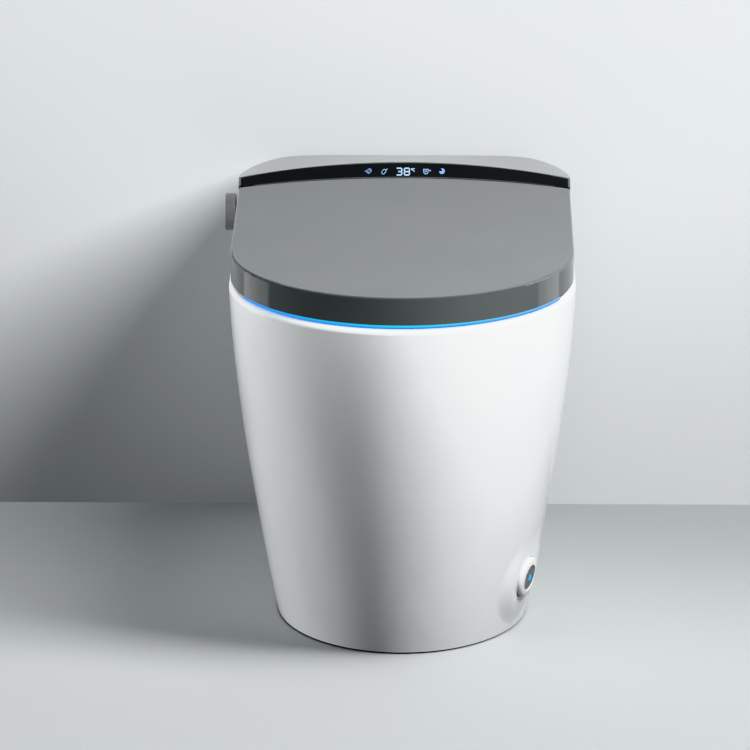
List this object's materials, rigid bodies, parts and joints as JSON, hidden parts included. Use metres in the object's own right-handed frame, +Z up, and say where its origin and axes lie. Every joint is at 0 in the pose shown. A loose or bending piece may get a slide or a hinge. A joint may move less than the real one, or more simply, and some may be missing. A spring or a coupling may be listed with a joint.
{
  "type": "smart toilet",
  "caption": "One-piece skirted floor-standing smart toilet with a low flat lid, black display strip, light band, side knob and foot flush button.",
  "frame": {"origin": "centre of the waste outlet on the floor", "axes": "+X to the right seen from the front, +Y to the rear, +Z up"},
  "size_m": [0.4172, 0.6883, 0.4704],
  "materials": {
    "ceramic_rim": "glossy white glaze",
    "ceramic_front": "glossy white glaze",
    "ceramic_left_side": "glossy white glaze",
    "ceramic_right_side": "glossy white glaze",
    "ceramic_rear_left": "glossy white glaze",
    "ceramic_rear_right": "glossy white glaze",
    "ceramic_inlet_corner": "glossy white glaze",
    "ceramic_back": "glossy white glaze",
    "ceramic_tray": "glossy white glaze",
    "ceramic_bowl": "glossy white glaze",
    "trapway": "glossy white glaze",
    "floor_gasket": "matt",
    "outlet_seal": "matt",
    "floor_brackets": "satin",
    "side_screws": "satin",
    "bolt_caps": "glossy",
    "lid": "glossy",
    "lid_bumpers": "matt",
    "lid_shaft": "turned",
    "seat_top": "glossy",
    "seat_bottom": "satin",
    "seat_heater": "printed film",
    "light_band": "lit diffuser",
    "seat_bumpers": "matt",
    "seat_shaft": "turned",
    "chassis": "moulded",
    "chassis_bolts": "satin",
    "hinge_posts": "moulded",
    "lid_damper": "moulded",
    "seat_damper": "moulded",
    "rear_cover": "glossy",
    "display_panel": "polished black",
    "cover_screws": "satin",
    "display_board": "circuit board",
    "control_box": "moulded",
    "power_gland": "moulded",
    "inlet_valve": "turned",
    "water_heater": "moulded",
    "inlet_hose": "matt",
    "flush_pump": "moulded",
    "flush_hose": "matt",
    "blower_housing": "moulded",
    "blower_impeller": "moulded",
    "blower_motor": "satin",
    "dryer_duct": "moulded",
    "dryer_flap": "moulded",
    "nozzle_guide": "moulded",
    "nozzle_wand": "glossy",
    "nozzle_tip": "polished",
    "nozzle_pinion": "moulded",
    "nozzle_motor": "satin",
    "knob_bezel": "glossy",
    "knob_cap": "frosted",
    "knob_shaft": "turned",
    "knob_carrier": "turned",
    "knob_encoder": "moulded",
    "foot_button_bezel": "glossy",
    "foot_button": "satin",
    "foot_button_lamp": "lit lens",
    "foot_button_switch": "moulded"
  },
  "bodies": {
    "pedestal": {"ceramic_rim": "ceramic_rim", "ceramic_front": "ceramic_front", "ceramic_left_side": "ceramic_left_side", "ceramic_right_side": "ceramic_right_side", "ceramic_rear_left": "ceramic_rear_left", "ceramic_rear_right": "ceramic_rear_right", "ceramic_inlet_corner": "ceramic_inlet_corner", "ceramic_back": "ceramic_back", "ceramic_tray": "ceramic_tray", "ceramic_bowl": "ceramic_bowl", "trapway": "trapway", "floor_gasket": "floor_gasket", "outlet_seal": "outlet_seal", "floor_brackets": "floor_brackets", "side_screws": "side_screws", "bolt_caps": "bolt_caps", "chassis": "chassis", "chassis_bolts": "chassis_bolts", "hinge_posts": "hinge_posts", "lid_damper": "lid_damper", "seat_damper": "seat_damper", "rear_cover": "rear_cover", "display_panel": "display_panel", "cover_screws": "cover_screws", "display_board": "display_board", "control_box": "control_box", "power_gland": "power_gland", "inlet_valve": "inlet_valve", "water_heater": "water_heater", "inlet_hose": "inlet_hose", "flush_pump": "flush_pump", "flush_hose": "flush_hose", "blower_housing": "blower_housing", "blower_motor": "blower_motor", "dryer_duct": "dryer_duct", "nozzle_guide": "nozzle_guide", "nozzle_motor": "nozzle_motor", "knob_bezel": "knob_bezel", "knob_encoder": "knob_encoder", "foot_button_bezel": "foot_button_bezel", "foot_button_switch": "foot_button_switch"},
    "lid": {"lid": "lid", "lid_bumpers": "lid_bumpers", "lid_shaft": "lid_shaft"},
    "seat": {"seat_top": "seat_top", "seat_bottom": "seat_bottom", "seat_heater": "seat_heater", "light_band": "light_band", "seat_bumpers": "seat_bumpers", "seat_shaft": "seat_shaft"},
    "nozzle": {"nozzle_wand": "nozzle_wand", "nozzle_tip": "nozzle_tip"},
    "pinion": {"nozzle_pinion": "nozzle_pinion"},
    "impeller": {"blower_impeller": "blower_impeller"},
    "flap": {"dryer_flap": "dryer_flap"},
    "knob_slider": {"knob_carrier": "knob_carrier"},
    "knob": {"knob_cap": "knob_cap", "knob_shaft": "knob_shaft"},
    "foot_push_button": {"foot_button": "foot_button", "foot_button_lamp": "foot_button_lamp"}
  },
  "joints": [
    {"name": "lid_hinge", "type": "hinge", "parent": "pedestal", "child": "lid", "pos_m": [0, 0.06837, 0.44538], "axis": [-1, 0, 0], "range_deg": [0, 96]},
    {"name": "seat_hinge", "type": "hinge", "parent": "pedestal", "child": "seat", "pos_m": [0, 0.06837, 0.44538], "axis": [-1, 0, 0], "range_deg": [0, 92]},
    {"name": "nozzle_slide", "type": "slide", "parent": "pedestal", "child": "nozzle", "axis": [0, -0.9703, -0.2419], "range_m": [0, 0.095]},
    {"name": "pinion_spin", "type": "hinge", "parent": "pedestal", "child": "pinion", "pos_m": [0, 0.05127, 0.34487], "axis": [1, 0, 0], "range_deg": [0, 546]},
    {"name": "blower_spin", "type": "hinge", "parent": "pedestal", "child": "impeller", "pos_m": [0.09, 0.20806, 0.32769], "axis": [0, -0.0349, 0.9994], "continuous": true},
    {"name": "flap_hinge", "type": "hinge", "parent": "pedestal", "child": "flap", "pos_m": [0.062, -0.03523, 0.34621], "axis": [-1, 0, 0], "range_deg": [0, 60]},
    {"name": "knob_push", "type": "slide", "parent": "pedestal", "child": "knob_slider", "axis": [1, 0, 0], "range_m": [0, 0.003], "stiffness_N_per_m": 500},
    {"name": "knob_turn", "type": "hinge", "parent": "knob_slider", "child": "knob", "pos_m": [-0.1975, 0.205, 0.398], "axis": [1, 0, 0], "continuous": true},
    {"name": "foot_push", "type": "slide", "parent": "pedestal", "child": "foot_push_button", "axis": [-0.9131, 0.3689, 0.1736], "range_m": [0, 0.0025], "stiffness_N_per_m": 700}
  ],
  "couplings": [
    {"joint": "seat_hinge", "follows": "lid_hinge", "ratio": 0.95},
    {"joint": "pinion_spin", "follows": "nozzle_slide", "rad_per_m": 100}
  ]
}
